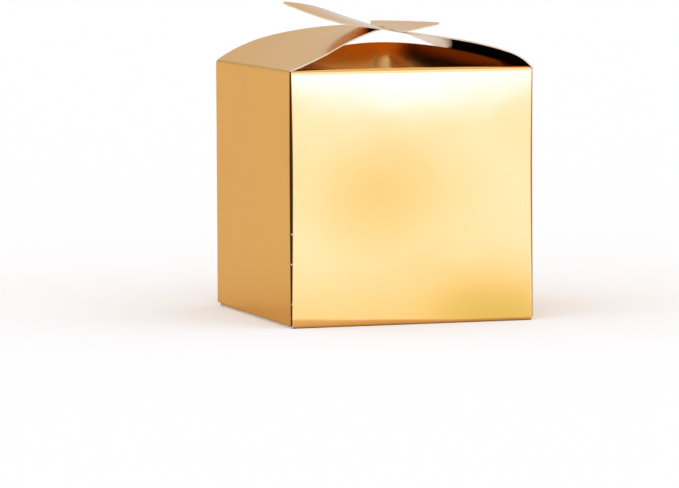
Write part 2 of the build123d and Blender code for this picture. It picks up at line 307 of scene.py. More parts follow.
@dataclass(frozen=True)
class FoilFinish:
    """Gold metallised film laminated on board: the eye sees a soft mirror, orange where it leans away.

    The rolled film leaves faint streaks across the box, and the board under it waves a little.
    """

    name: str = "gold_metallised_foil"
    gold: str = "#E4AE5E"
    pale_gold: str = "#ECB669"
    edge_tint: str = "#E3D2BC"
    # Painted shade: a near-black brown laid into the foil along the creases, standing in for shade and dark
    # reflections there
    crease_painted_shade: str = "#1E0F04"
    scuff: str = "#F3EAD8"
    roughness: float = 0.11
    gloss_spread: tuple[float, float] = (-0.012, 0.018)
    # Real rolling streaks lie about a tenth as far apart: they are drawn this coarse to show
    streak_mm: float = 0.9
    streak_length_mm: float = 60.0
    streak_band: tuple[float, float] = (0.3, 0.7)
    streak_strength: float = 0.08
    streak_depth_mm: float = 0.01
    wave_mm: float = 20.0
    wave_strength: float = 0.6
    wave_depth_mm: float = 0.25
    speck_mm: float = 1.3
    scuff_band: tuple[float, float] = (0.66, 0.7)

    def material(self) -> bpy.types.Material:
        """Builds the foil's nodes.

        Returns:
            The foil material.
        """
        # The eye sees a gold mirror, softened by streaks and slow waves, with painted shade darkening its
        # creases and scuffs of real wear there
        material, tree = new_material(self.name)
        blank = add_node(tree, "ShaderNodeUVMap", {"uv_map": "blank"}).outputs["UV"]
        place = add_node(tree, "ShaderNodeTexCoord").outputs["Object"]
        stretch = (1 / (self.streak_length_mm * MM), 1 / (self.streak_mm * MM), 1.0)
        stretched = add_node(tree, "ShaderNodeMapping", None, {"Vector": blank, "Scale": stretch})
        streaks = add_node(
            tree,
            "ShaderNodeTexNoise",
            {"noise_dimensions": "2D"},
            {"Vector": stretched.outputs["Vector"], "Scale": 1.0, "Detail": 3.0},
        )
        waves = add_node(
            tree,
            "ShaderNodeTexNoise",
            None,
            {"Vector": place, "Scale": 1 / (self.wave_mm * MM), "Detail": 2.0, "Roughness": 0.4},
        )
        tone = add_node(
            tree,
            "ShaderNodeMix",
            {"data_type": "RGBA"},
            {0: waves.outputs["Fac"], MIX_A: linear(self.gold), MIX_B: linear(self.pale_gold)},
        )
        # One mask carries both the painted crease shade and the scuffs of real wear
        crease_shade_and_wear = add_node(tree, "ShaderNodeAttribute", {"attribute_name": "crease_shade_and_wear"}).outputs["Fac"]
        crease_shaded = add_node(
            tree,
            "ShaderNodeMix",
            {"data_type": "RGBA"},
            {0: crease_shade_and_wear, MIX_A: tone.outputs[MIX_OUT], MIX_B: linear(self.crease_painted_shade)},
        )
        specks = add_node(
            tree,
            "ShaderNodeTexNoise",
            None,
            {"Vector": place, "Scale": 1 / (self.speck_mm * MM), "Detail": 1.0},
        )
        worn_through = add_node(
            tree, "ShaderNodeMath", {"operation": "MULTIPLY"}, {0: specks.outputs["Fac"], 1: crease_shade_and_wear}
        )
        bare, full = self.scuff_band
        scuffs = add_node(
            tree,
            "ShaderNodeMapRange",
            None,
            {"Value": worn_through.outputs[0], "From Min": bare, "From Max": full},
        )
        colour = add_node(
            tree,
            "ShaderNodeMix",
            {"data_type": "RGBA"},
            {0: scuffs.outputs["Result"], MIX_A: crease_shaded.outputs[MIX_OUT], MIX_B: linear(self.scuff)},
        )
        gloss = add_node(
            tree,
            "ShaderNodeMapRange",
            None,
            {
                "Value": streaks.outputs["Fac"],
                "From Min": self.streak_band[0],
                "From Max": self.streak_band[1],
                "To Min": self.roughness + self.gloss_spread[0],
                "To Max": self.roughness + self.gloss_spread[1],
            },
        )
        ripple = add_node(
            tree,
            "ShaderNodeBump",
            None,
            {
                "Height": waves.outputs["Fac"],
                "Strength": self.wave_strength,
                "Distance": self.wave_depth_mm * MM,
            },
        )
        rolled = add_node(
            tree,
            "ShaderNodeBump",
            None,
            {
                "Height": streaks.outputs["Fac"],
                "Strength": self.streak_strength,
                "Distance": self.streak_depth_mm * MM,
                "Normal": ripple.outputs["Normal"],
            },
        )
        metal = add_node(
            tree,
            "ShaderNodeMapRange",
            None,
            {"Value": scuffs.outputs["Result"], "To Min": 1.0, "To Max": 0.0},
        )
        shader = add_node(
            tree,
            "ShaderNodeBsdfPrincipled",
            None,
            {
                "Base Color": colour.outputs[MIX_OUT],
                "Metallic": metal.outputs["Result"],
                "Roughness": gloss.outputs["Result"],
                "Specular Tint": linear(self.edge_tint),
                "Normal": rolled.outputs["Normal"],
            },
        )
        add_node(tree, "ShaderNodeOutputMaterial", None, {"Surface": shader.outputs["BSDF"]})
        return material


@dataclass(frozen=True)
class CutEdgeFinish:
    """Die-cut edge of the board's core: the eye sees a thin cream line, warmer where fibres are pressed."""

    white: str = "#F6E8D0"
    shade: str = "#E3CDA6"
    roughness: float = 0.86
    specular: float = 0.3
    # Real fibres are about a tenth as wide: they are drawn this coarse to show
    fibre_mm: float = 0.3
    nap_strength: float = 0.3
    nap_depth_mm: float = 0.03
    cloud_mm: float = 4.0
    tone_band: tuple[float, float] = (0.12, 0.4)

    def material(self) -> bpy.types.Material:
        """Builds the cut edge's nodes.

        Returns:
            The cut edge material.
        """
        # The eye sees a matt cream line with a fine nap
        material, tree = new_material("die_cut_board_edge")
        place = add_node(tree, "ShaderNodeTexCoord").outputs["Object"]
        fibres = add_node(
            tree,
            "ShaderNodeTexNoise",
            None,
            {"Vector": place, "Scale": 1 / (self.fibre_mm * MM), "Detail": 3.0, "Roughness": 0.6},
        )
        clouds = add_node(
            tree,
            "ShaderNodeTexNoise",
            None,
            {"Vector": place, "Scale": 1 / (self.cloud_mm * MM), "Detail": 3.0},
        )
        mixed = add_node(
            tree,
            "ShaderNodeMath",
            {"operation": "MULTIPLY"},
            {0: fibres.outputs["Fac"], 1: clouds.outputs["Fac"]},
        )
        warm, pale = self.tone_band
        tone = add_node(
            tree,
            "ShaderNodeMapRange",
            None,
            {"Value": mixed.outputs[0], "From Min": warm, "From Max": pale},
        )
        colour = add_node(
            tree,
            "ShaderNodeMix",
            {"data_type": "RGBA"},
            {0: tone.outputs["Result"], MIX_A: linear(self.shade), MIX_B: linear(self.white)},
        )
        nap = add_node(
            tree,
            "ShaderNodeBump",
            None,
            {
                "Height": fibres.outputs["Fac"],
                "Strength": self.nap_strength,
                "Distance": self.nap_depth_mm * MM,
            },
        )
        shader = add_node(
            tree,
            "ShaderNodeBsdfPrincipled",
            None,
            {
                "Base Color": colour.outputs[MIX_OUT],
                "Roughness": self.roughness,
                "Specular IOR Level": self.specular,
                "Normal": nap.outputs["Normal"],
            },
        )
        add_node(tree, "ShaderNodeOutputMaterial", None, {"Surface": shader.outputs["BSDF"]})
        return material


@dataclass(frozen=True)
class GlueFinish:
    """Dried water-based seam glue, rolled on: the eye sees a cloudy ivory film with a low sheen."""

    ivory: str = "#E9DFC4"
    thin: str = "#F1EADA"
    roughness: float = 0.45
    ridge_mm: float = 1.4
    ridge_strength: float = 0.4
    ridge_depth_mm: float = 0.05

    def material(self) -> bpy.types.Material:
        """Builds the glue's nodes.

        Returns:
            The glue material.
        """
        # The eye sees a cloudy film, thin and thick by turns where the roller left ridges
        material, tree = new_material("dried_seam_glue")
        place = add_node(tree, "ShaderNodeTexCoord").outputs["Object"]
        ridges = add_node(
            tree,
            "ShaderNodeTexNoise",
            None,
            {"Vector": place, "Scale": 1 / (self.ridge_mm * MM), "Detail": 2.0},
        )
        colour = add_node(
            tree,
            "ShaderNodeMix",
            {"data_type": "RGBA"},
            {0: ridges.outputs["Fac"], MIX_A: linear(self.ivory), MIX_B: linear(self.thin)},
        )
        film = add_node(
            tree,
            "ShaderNodeBump",
            None,
            {
                "Height": ridges.outputs["Fac"],
                "Strength": self.ridge_strength,
                "Distance": self.ridge_depth_mm * MM,
            },
        )
        shader = add_node(
            tree,
            "ShaderNodeBsdfPrincipled",
            None,
            {
                "Base Color": colour.outputs[MIX_OUT],
                "Roughness": self.roughness,
                "Normal": film.outputs["Normal"],
            },
        )
        add_node(tree, "ShaderNodeOutputMaterial", None, {"Surface": shader.outputs["BSDF"]})
        return material


@dataclass(frozen=True)
class SweepFinish:
    """Matt white paper sweep: the eye sees an even pale ground, and nothing of it from beneath."""

    white: str = "#FFFCFA"
    roughness: float = 0.6

    def material(self) -> bpy.types.Material:
        """Builds the sweep's nodes.

        Returns:
            The floor material.
        """
        # The eye sees plain paper from above, and through it from beneath
        material, tree = new_material("white_paper_sweep")
        paper = add_node(
            tree,
            "ShaderNodeBsdfDiffuse",
            None,
            {"Color": linear(self.white), "Roughness": self.roughness},
        )
        clear = add_node(tree, "ShaderNodeBsdfTransparent")
        side = add_node(tree, "ShaderNodeNewGeometry")
        shown = add_node(
            tree,
            "ShaderNodeMixShader",
            None,
            {0: side.outputs["Backfacing"], 1: paper.outputs[0], 2: clear.outputs[0]},
        )
        add_node(tree, "ShaderNodeOutputMaterial", None, {"Surface": shown.outputs[0]})
        return material


@dataclass
class FoilBoard:
    """The laminated board that every panel is cut from: foil on both faces, bare core at the cut edges."""

    foil: bpy.types.Material
    inside: bpy.types.Material
    cut_edge: bpy.types.Material
    sharp_angle: float = 38.0

    def thicken(self, flat: bmesh.types.BMesh, name: str) -> bpy.types.Object:
        """Gives a bent sheet the board's thickness, with foil on both faces and the core at its edges.

        Args:
            flat: The sheet, as a surface along the middle of the board; it is freed.
            name: The finished piece's name.

        Returns:
            The finished piece, in the scene.
        """
        sheet = bpy.data.meshes.new(name + "_sheet")
        flat.to_mesh(sheet)
        flat.free()
        maker = bpy.data.objects.new(name + "_maker", sheet)
        bpy.context.scene.collection.objects.link(maker)
        for finish in (self.foil, self.inside, self.cut_edge):
            sheet.materials.append(finish)
        thickness = maker.modifiers.new("board", "SOLIDIFY")
        thickness.thickness = BOARD * MM
        thickness.offset = 0.0
        thickness.use_even_offset = True
        thickness.use_quality_normals = True
        thickness.material_offset = 1
        thickness.material_offset_rim = 2
        depsgraph = bpy.context.evaluated_depsgraph_get()
        solid = bpy.data.meshes.new_from_object(maker.evaluated_get(depsgraph), depsgraph=depsgraph)
        bpy.data.objects.remove(maker)
        bpy.data.meshes.remove(sheet)
        solid.name = name
        solid.shade_smooth()
        solid.set_sharp_from_angle(angle=math.radians(self.sharp_angle))
        piece = bpy.data.objects.new(name, solid)
        bpy.context.scene.collection.objects.link(piece)
        return piece


def slice_sheet(sheet: bmesh.types.BMesh, places: list[float], across: Vector) -> None:
    """Scores a flat sheet with cuts at right angles to one direction.

    Args:
        sheet: The flat sheet.
        places: Distances of the cuts in mm.
        across: The direction that the distances are measured in.
    """
    for place in places:
        parts = sheet.verts[:] + sheet.edges[:] + sheet.faces[:]
        bmesh.ops.bisect_plane(
            sheet, geom=parts, dist=SAME_PLACE, plane_co=across * place * MM, plane_no=across
        )


def spaced(first: float, last: float, step: float) -> list[float]:
    """Spreads evenly spaced places between two ends.

    Args:
        first: The first place.
        last: The last place.
        step: The widest spacing.

    Returns:
        The places, both ends among them.
    """
    count = max(1, math.ceil((last - first) / step))
    return [first + (last - first) * i / count for i in range(count + 1)]


@dataclass
class Flap:
    """A flap of the blank with the strip of wall that it folds from, as one continuous sheet.

    Its slot is given by its near side, its far side and where it ends. Sizes are in mm.
    """

    name: str
    fold: FoldLine
    bow: Bow
    corners: tuple[Corner, ...]
    slot: tuple[float, float, float] | None = None
    # How much painted crease shade, with scuffs of wear, the flap gets at its fold
    crease_shade_and_wear: float = 0.0
    step: float = 1.0
    twist: Twist | None = None
    corner_segments: int = 14
    fold_window: float = 0.64
    fold_window_share: float = 0.78
    fold_step: float = 0.08
    cross_step: float = 6.0
    # Width in mm of the painted crease shade and wear on either side of the fold
    crease_shade_and_wear_reach: float = 0.4
    turn_reach: float = 0.9

    def cut(self) -> bmesh.types.BMesh:
        """Cuts the flap's outline from the flat board and rounds its corners.

        Returns:
            The flat sheet, with reach along X and the fold along Y.
        """
        sheet = bmesh.new()
        points = [sheet.verts.new((c.reach * MM, c.along * MM, 0)) for c in self.corners]
        face = sheet.faces.new(points)
        face.normal_update()
        if face.normal.z < 0:
            face.normal_flip()
        for index, corner in enumerate(self.corners):
            if corner.radius > 0:
                before = self.corners[index - 1]
                after = self.corners[(index + 1) % len(self.corners)]
                arriving = Vector((corner.reach - before.reach, corner.along - before.along))
                leaving = Vector((after.reach - corner.reach, after.along - corner.along))
                bmesh.ops.bevel(
                    sheet,
                    geom=[points[index]],
                    offset=corner.radius * math.tan(arriving.angle(leaving) / 2) * MM,
                    offset_type="OFFSET",
                    segments=self.corner_segments,
                    profile=0.5,
                    affect="VERTICES",
                    material=-1,
                )
        return sheet

    def score(self, sheet: bmesh.types.BMesh) -> None:
        """Divides the flat sheet finely at its fold and more widely along the flap, and opens its slot.

        Args:
            sheet: The flat sheet.
        """
        reaches = [c.reach for c in self.corners]
        widths = [c.along for c in self.corners]
        tip = max(reaches)
        near_fold = max(self.fold_window, self.fold_window_share * self.bow.fold_radius)
        slice_sheet(sheet, spaced(-near_fold, near_fold, self.fold_step), X_AXIS)
        slice_sheet(sheet, spaced(near_fold, tip, self.step)[1:-1], X_AXIS)
        if self.slot:
            near, far, end = self.slot
            slice_sheet(sheet, [near, far], X_AXIS)
            slice_sheet(sheet, [end], Y_AXIS)
            gone = [f for f in sheet.faces if self.in_slot(f.calc_center_median() / MM)]
            bmesh.ops.delete(sheet, geom=gone, context="FACES")
        slice_sheet(sheet, spaced(min(widths), max(widths), self.cross_step)[1:-1], Y_AXIS)

    def in_slot(self, place: Vector) -> bool:
        """Tells whether a point of the flat sheet, in mm, lies in the slot."""
        near, far, end = self.slot
        return near < place.x < far and place.y < end

    def mark(self, sheet: bmesh.types.BMesh) -> None:
        """Notes each point's place on the blank, and how much painted crease shade and foil wear it gets
        there.

        Args:
            sheet: The flat sheet.
        """
        blank = sheet.loops.layers.uv.new("blank")
        for face in sheet.faces:
            for loop in face.loops:
                flat = loop.vert.co / MM
                loop[blank].uv = self.fold.blank_place(flat.x, flat.y)
        # Painted crease shade and wear, fading out on either side of the fold
        crease_shade_and_wear_layer = sheet.verts.layers.float.new("crease_shade_and_wear")
        for vert in sheet.verts:
            vert[crease_shade_and_wear_layer] = self.crease_shade_and_wear * math.exp(-((vert.co.x / MM / self.crease_shade_and_wear_reach) ** 2))

    def bend(self, sheet: bmesh.types.BMesh) -> None:
        """Bends the flat sheet over its fold and along its bow, and puts it on the box.

        Args:
            sheet: The flat sheet.
        """
        for vert in sheet.verts:
            reach, along = vert.co.x / MM, vert.co.y / MM
            inward, past = self.bow.section(reach)
            if self.twist:
                past += self.twist.rise(reach, along)
            vert.co = Vector((inward, along, past)) * MM
        bmesh.ops.transform(sheet, matrix=self.fold.place(), verts=sheet.verts[:])

    def build(self, board: FoilBoard, wall: str, body: str, *nodes: str) -> bpy.types.Object:
        """Makes the flap in place on the box and hides the CAD nodes that it stands for.

        Args:
            board: The board that it is cut from.
            wall: Not used (the body that the fold's near side would follow).
            body: Not used (the body that the flap would follow).
            nodes: The CAD nodes that it stands for.

        Returns:
            The finished flap.
        """
        sheet = self.cut()
        self.score(sheet)
        self.mark(sheet)
        self.bend(sheet)
        piece = board.thicken(sheet, self.name)
        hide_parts(*nodes)
        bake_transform(piece)
        return piece


@dataclass
class Sleeve:
    """The four walls, their corner creases and the glue tab, as one folded strip of board.

    Places run along the strip from the left wall's back edge, and sizes are in mm.
    """

    top: float = 75.7
    strip_ends: tuple[float, float] = (0.0, 314.9)
    corner_places: tuple[float, ...] = (75.8, 151.4, 227.0, 302.1)
    corner_window: float = 1.6
    arc_window: float = 0.9
    bulge: float = 0.12
    # Painted shade at each corner crease, with scuffs of wear; the front-left crease is painted darkest
    crease_shade_and_wear_by_corner: tuple[float, ...] = (0.97, 0.6, 0.6, 0.6)
    sharp_bend: float = 0.28
    soft_bend: float = 0.52
    bend_height: float = 76.0
    bend_skew: float = 1.3
    bulge_height: float = 75.0
    # Where the board is cut away: over the walls for their flaps, under them for the base, and at the tab
    notches: tuple[tuple[float, float], ...] = ((0.52, 74.9), (76.7, 150.5), (152.3, 226.1), (227.9, 301.2))
    notch_foot: float = 74.6
    tab_window: tuple[float, float] = (3.98, 72.54)
    flap_feet: tuple[tuple[float, float], ...] = ((4.5, 74.0), (153.2, 222.7))
    flap_foot: float = 1.92
    panel_foot: float = 1.4
    crease_foot: float = 0.98
    hem: float = 0.46
    # First place, last place and widest spacing of the strip's even divisions
    column_step: tuple[float, float, float] = (6.0, 296.0, 3.7)
    row_step: tuple[float, float, float] = (5.0, 71.5, 3.5)
    crease_step: float = 0.15

    def corners(self) -> list[Vector]:
        """Gives the strip's course in plan.

        Returns:
            Its first end, its four corners and its last end, in mm.
        """
        first_wall = ((-37.8, 38.0), (-37.8, -37.8))
        other_walls = ((37.8, -37.8), (37.8, 37.8), (-37.3, 37.8), (-37.3, 25.0))
        return [Vector(point) for point in first_wall + other_walls]

    def cut_away(self, across: float, height: float) -> bool:
        """Tells which of the flat strip is cut away for the flaps, the feet and the tab.

        Args:
            across: Place along the strip in mm.
            height: Height in mm.

        Returns:
            True where no board is left.
        """
        front, back = self.notches[1], self.notches[3]
        if height > self.notch_foot and any(a < across < b for a, b in self.notches):
            return True
        if across > back[1]:
            return height < self.tab_window[0] or height > self.tab_window[1]
        if across > back[0]:
            return False
        if front[0] < across < front[1]:
            return height < self.panel_foot
        if any(a < across < b for a, b in self.flap_feet):
            return height < self.flap_foot
        return height < self.crease_foot

    def bend_radius(self, height: float) -> float:
        """Gives the corners' bend radius in mm, crisp at both ends and softer over the middle."""
        share = max(height / self.bend_height, 0.0) ** self.bend_skew
        return self.sharp_bend + self.soft_bend * math.sin(math.pi * share)

    def nearest_corner(self, across: float) -> tuple[int, float]:
        """Finds the nearest corner of the strip.

        Args:
            across: Place along the strip in mm.

        Returns:
            The corner's number and the distance past it in mm.
        """
        place = min(self.corner_places, key=lambda c: abs(across - c))
        return self.corner_places.index(place), across - place

    def fold(self, across: float, height: float) -> Vector:
        """Folds a point of the flat strip round the box.

        Args:
            across: Place along the strip in mm.
            height: Height in mm.

        Returns:
            The point in mm.
        """
        course = self.corners()
        number, past = self.nearest_corner(across)
        here = course[number + 1]
        arriving = (here - course[number]).normalized()
        leaving = (course[number + 2] - here).normalized()
        radius = self.bend_radius(height)
        if abs(past) <= self.arc_window:
            angle = math.pi / 4 * (1 + past / self.arc_window)
            centre = here + (leaving - arriving) * radius
            flat = centre + (arriving * math.sin(angle) - leaving * math.cos(angle)) * radius
            return Vector((flat.x, flat.y, height))
        distance = abs(past)
        if distance < self.corner_window:
            share = (distance - self.arc_window) / (self.corner_window - self.arc_window)
            distance = radius + share * (self.corner_window - radius)
        direction = leaving if past > 0 else -arriving
        flat = here + direction * distance
        walls = (0.0,) + self.corner_places
        wall = number + 1 if past > 0 else number
        if wall < 4:
            share = (across - walls[wall]) / (self.corner_places[wall] - walls[wall])
            climb = min(height / self.bulge_height, 1.0)
            swell = math.sin(math.pi * share) ** 2 * math.sin(math.pi * climb) ** 2
            outward = Vector((direction.y, -direction.x)) * (1 if past > 0 else -1)
            flat += outward * self.bulge * swell
        return Vector((flat.x, flat.y, height))

    def build(self, board: FoilBoard) -> bpy.types.Object:
        """Cuts, folds and thickens the strip.

        Args:
            board: The board that it is cut from.

        Returns:
            The finished sleeve.
        """
        sheet = bmesh.new()
        first, last = self.strip_ends
        outline = ((first, 0), (last, 0), (last, self.top), (first, self.top))
        sheet.faces.new([sheet.verts.new((x * MM, y * MM, 0)) for x, y in outline])
        columns = [self.notches[0][0], *self.flap_feet[0], *self.flap_feet[1]]
        for corner in self.corner_places:
            columns += spaced(corner - self.arc_window, corner + self.arc_window, self.crease_step)
            columns += [corner - self.corner_window, corner + self.corner_window]
        columns += spaced(*self.column_step)
        rows = [self.hem, self.crease_foot, self.panel_foot, self.flap_foot, self.notch_foot]
        rows += [*self.tab_window, *spaced(*self.row_step)]
        slice_sheet(sheet, sorted(columns), X_AXIS)
        slice_sheet(sheet, sorted(rows), Y_AXIS)
        gone = []
        for face in sheet.faces:
            middle = face.calc_center_median() / MM
            if self.cut_away(middle.x, middle.y):
                gone.append(face)
        bmesh.ops.delete(sheet, geom=gone, context="FACES")
        blank = sheet.loops.layers.uv.new("blank")
        for face in sheet.faces:
            for loop in face.loops:
                loop[blank].uv = (loop.vert.co.x, loop.vert.co.y)
        # Painted crease shade and wear, strongest in the middle of each corner's bend
        crease_shade_and_wear_layer = sheet.verts.layers.float.new("crease_shade_and_wear")
        for vert in sheet.verts:
            across, height = vert.co.x / MM, vert.co.y / MM
            number, past = self.nearest_corner(across)
            middle = max(0.0, 1 - (past / self.arc_window) ** 4)
            vert[crease_shade_and_wear_layer] = self.crease_shade_and_wear_by_corner[number] * middle
            vert.co = self.fold(across, height) * MM
        sheet.normal_update()
        piece = board.thicken(sheet, "sleeve")
        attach(piece, "sleeve")
        walls = ("front_wall", "right_wall", "back_wall", "left_wall")
        creases = ("front_left_crease", "front_right_crease", "back_right_crease", "back_left_crease")
        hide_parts(*walls, *creases, "glue_tab")
        return piece

    def dress_seam(self, strip: bpy.types.Object, glue: bpy.types.Material) -> bpy.types.Object:
        """Dresses the CAD's strip of seam adhesive.

        Args:
            strip: The strip's own object.
            glue: The dried glue.

        Returns:
            The same object.
        """
        strip.data.materials.clear()
        strip.data.materials.append(glue)
        return strip


@dataclass
class TopClosure:
    """Two petals slotted into each other over two round dust flaps, with sizes in mm."""

    strip_half_width: float = 37.48
    petal_half_width: float = 37.4
    petal_foot: tuple[float, float] = (0.2, 1.0)
    # Painted shade, with scuffs of wear, along the petals' folds
    petal_crease_shade_and_wear: float = 0.25
    shoulder_reach: float = 8.8
    shoulder_radius: float = 17.5
    waist_half_width: float = 7.0
    slot_half_width: float = 1.6
    waist_step: float = 2.3
    slot_end: float = 0.4
    tip_radius: float = 1.8
    # Each petal: the reach of its crossing, its wing's widest corner and tip, its bow and its lean
    left_crossing: float = 39.8
    left_belly: Corner = Corner(42.3, 14.8, 1.4)
    left_tip: float = 60.4
    left_bow: Bow = Bow(28.2, ((39.8, 11.1), (59.3, 11.9)))
    left_twist: Twist = Twist(39.8, 59.3, 4.2, 6.1, 0.67, 1)
    right_crossing: float = 35.8
    right_belly: Corner = Corner(49.9, 13.2, 7.0)
    right_tip: float = 66.9
    right_bow: Bow = Bow(48.2, ((6.5, 4.45), (26.6, 9.45), (35.8, 11.1), (65.8, 18.8)))
    right_twist: Twist = Twist(35.8, 65.8, 4.2, 15.0, 3.86, -1)
    # Each round dust flap: its bow, and how far its fold reaches to either side of its middle
    front_bow: Bow = Bow(7.5, ((31.0, 6.6),), 1.45)
    front_strips: tuple[float, float] = (37.5, 37.5)
    back_bow: Bow = Bow(3.0, ((31.0, 0.8),))
    back_strips: tuple[float, float] = (37.5, 37.0)
    crown_steps: int = 48
    dust_flare: tuple[float, float] = (-0.15, 0.6)
    dust_foot: float = 36.4
    dust_shoulder: float = 31.2
    dust_shoulder_reach: float = 7.6
    dust_reach: float = 31.0

    def petal_outline(self, crossing: float, belly: Corner, tip: float) -> tuple[Corner, ...]:
        """Lays out a petal: shoulders, waist at the crossing, belly and tip.

        Args:
            crossing: Reach of the crossing in mm.
            belly: The wing's widest corner.
            tip: Reach of the tip in mm.

        Returns:
            The corners in order.
        """
        half = (
            Corner(-WALL_STRIP, self.strip_half_width),
            Corner(self.petal_foot[0], self.strip_half_width),
            Corner(self.petal_foot[1], self.petal_half_width),
            Corner(self.shoulder_reach, self.petal_half_width, self.shoulder_radius),
            Corner(crossing - self.waist_step, self.waist_half_width),
            Corner(crossing, self.waist_half_width),
            belly,
        )
        other = tuple(Corner(c.reach, -c.along, c.radius) for c in reversed(half))
        return half + (Corner(tip, 0.0, self.tip_radius),) + other

    def slot(self, crossing: float) -> tuple[float, float, float]:
        """Gives a petal's slot as its near side, its far side and where it ends."""
        return (crossing - self.slot_half_width, crossing + self.slot_half_width, self.slot_end)

    def dust_outline(self, strips: tuple[float, float]) -> tuple[Corner, ...]:
        """Lays out a round dust flap: a flared foot, then an arc from shoulder to shoulder.

        Args:
            strips: How far the fold reaches to either side of its middle, in mm.

        Returns:
            The corners in order.
        """
        height = self.dust_reach - self.dust_shoulder_reach
        radius = (self.dust_shoulder**2 + height**2) / (2 * height)
        middle = self.dust_reach - radius
        half_sweep = math.asin(self.dust_shoulder / radius)
        turns = [half_sweep * (1 - 2 * i / self.crown_steps) for i in range(self.crown_steps + 1)]
        crown = tuple(Corner(middle + radius * math.cos(t), radius * math.sin(t)) for t in turns)
        begins, ends = self.dust_flare
        foot = (
            Corner(-WALL_STRIP, strips[0]),
            Corner(begins, strips[0]),
            Corner(ends, self.dust_foot),
        )
        other = (
            Corner(ends, -self.dust_foot),
            Corner(begins, -strips[1]),
            Corner(-WALL_STRIP, -strips[1]),
        )
        return foot + crown + other

    def build(self, board: FoilBoard) -> list[bpy.types.Object]:
        """Makes both petals and both dust flaps.

        Args:
            board: The board that they are cut from.

        Returns:
            The four flaps.
        """
        left = Flap(
            "left_petal_flap",
            FoldLine.LEFT_TOP,
            self.left_bow,
            self.petal_outline(self.left_crossing, self.left_belly, self.left_tip),
            self.slot(self.left_crossing),
            crease_shade_and_wear=self.petal_crease_shade_and_wear,
            twist=self.left_twist,
        )
        right = Flap(
            "right_petal_flap",
            FoldLine.RIGHT_TOP,
            self.right_bow,
            self.petal_outline(self.right_crossing, self.right_belly, self.right_tip),
            self.slot(self.right_crossing),
            crease_shade_and_wear=self.petal_crease_shade_and_wear,
            twist=self.right_twist,
        )
        front = Flap(
            "front_round_flap", FoldLine.FRONT_TOP, self.front_bow, self.dust_outline(self.front_strips)
        )
        back = Flap(
            "back_round_flap", FoldLine.BACK_TOP, self.back_bow, self.dust_outline(self.back_strips)
        )
        return [
            left.build(board, "sleeve", "left_petal", "left_petal", "left_petal_wing"),
            right.build(board, "sleeve", "right_petal", "right_petal", "right_petal_wing"),
            front.build(board, "sleeve", "front_dust_flap", "front_dust_flap"),
            back.build(board, "sleeve", "back_dust_flap", "back_dust_flap"),
        ]


@dataclass
class Base:
    """The tuck-in base: a panel from the front wall with its tab, under two dust flaps from the sides."""

    level_bow: Bow = Bow(0.0, ((80.0, 0.0),))
    panel_strip: float = 37.5
    panel_foot: tuple[float, float] = (0.3, 0.9)
    # Painted shade, with scuffs of wear, along the panel's fold
    panel_crease_shade_and_wear: float = 0.3
    panel_step: float = 4.0
    panel_half_width: float = 37.2
    panel_reach: float = 74.34
    tab_fold_reach: float = 73.4
    tab_half_width: float = 34.2
    tab_height: float = 14.0
    tab_corner: float = 8.0
    tab_lean: float = 6.0
    flap_reach: float = 29.0
    flap_front: float = 36.0
    flap_back: float = 33.5
    flap_front_taper: float = 28.0
    flap_back_taper: float = 7.0
    flap_corner: float = 3.0
    flap_step: float = 3.0

    def panel_outline(self) -> tuple[Corner, ...]:
        """Lays out the panel, stepped at the front fold and where its tab begins.

        Returns:
            The corners in order.
        """
        half = (
            Corner(-WALL_STRIP, self.panel_strip),
            Corner(self.panel_foot[0], self.panel_strip),
            Corner(self.panel_foot[1], self.panel_half_width),
            Corner(self.panel_reach, self.panel_half_width),
            Corner(self.panel_reach, self.tab_half_width),
            Corner(self.tab_fold_reach, self.tab_half_width),
        )
        return half + tuple(Corner(c.reach, -c.along) for c in reversed(half))

    def tab_outline(self) -> tuple[Corner, ...]:
        """Lays out the tuck tab with its two rounded corners.

        Returns:
            The corners in order.
        """
        height = self.tab_height * math.cos(math.radians(self.tab_lean))
        half = (
            Corner(-WALL_STRIP, self.tab_half_width),
            Corner(height, self.tab_half_width, self.tab_corner),
        )
        return half + tuple(Corner(c.reach, -c.along, c.radius) for c in reversed(half))

    def flap_outline(self, side: int) -> tuple[Corner, ...]:
        """Lays out a base dust flap, tapered more at the front.

        Args:
            side: 1 where the fold runs towards the back, -1 where it runs towards the front.

        Returns:
            The corners in order.
        """
        return (
            Corner(-WALL_STRIP, side * self.flap_back),
            Corner(0.0, side * self.flap_back),
            Corner(self.flap_reach, side * (self.flap_back - self.flap_back_taper), self.flap_corner),
            Corner(self.flap_reach, -side * (self.flap_front - self.flap_front_taper), self.flap_corner),
            Corner(0.0, -side * self.flap_front),
            Corner(-WALL_STRIP, -side * self.flap_front),
        )

    def build(self, board: FoilBoard) -> list[bpy.types.Object]:
        """Makes the panel, its tab and the two dust flaps.

        Args:
            board: The board that they are cut from.

        Returns:
            The four pieces.
        """
        panel = Flap(
            "base_panel",
            FoldLine.PANEL,
            self.level_bow,
            self.panel_outline(),
            crease_shade_and_wear=self.panel_crease_shade_and_wear,
            step=self.panel_step,
        )
        drop = -self.tab_height * math.tan(math.radians(self.tab_lean))
        tab_bow = Bow(-self.tab_lean, ((self.tab_height, drop),))
        tab = Flap("tuck_in_tab", FoldLine.TUCK, tab_bow, self.tab_outline())
        left = Flap(
            "base_left_flap",
            FoldLine.LEFT_BASE,
            self.level_bow,
            self.flap_outline(-1),
            step=self.flap_step,
        )
        right = Flap(
            "base_right_flap",
            FoldLine.RIGHT_BASE,
            self.level_bow,
            self.flap_outline(1),
            step=self.flap_step,
        )
        return [
            panel.build(board, "sleeve", "bottom_panel", "bottom_panel"),
            tab.build(board, "bottom_panel", "tuck_tab", "tuck_tab"),
            left.build(board, "sleeve", "bottom_left_dust_flap", "bottom_left_dust_flap"),
            right.build(board, "sleeve", "bottom_right_dust_flap", "bottom_right_dust_flap"),
        ]


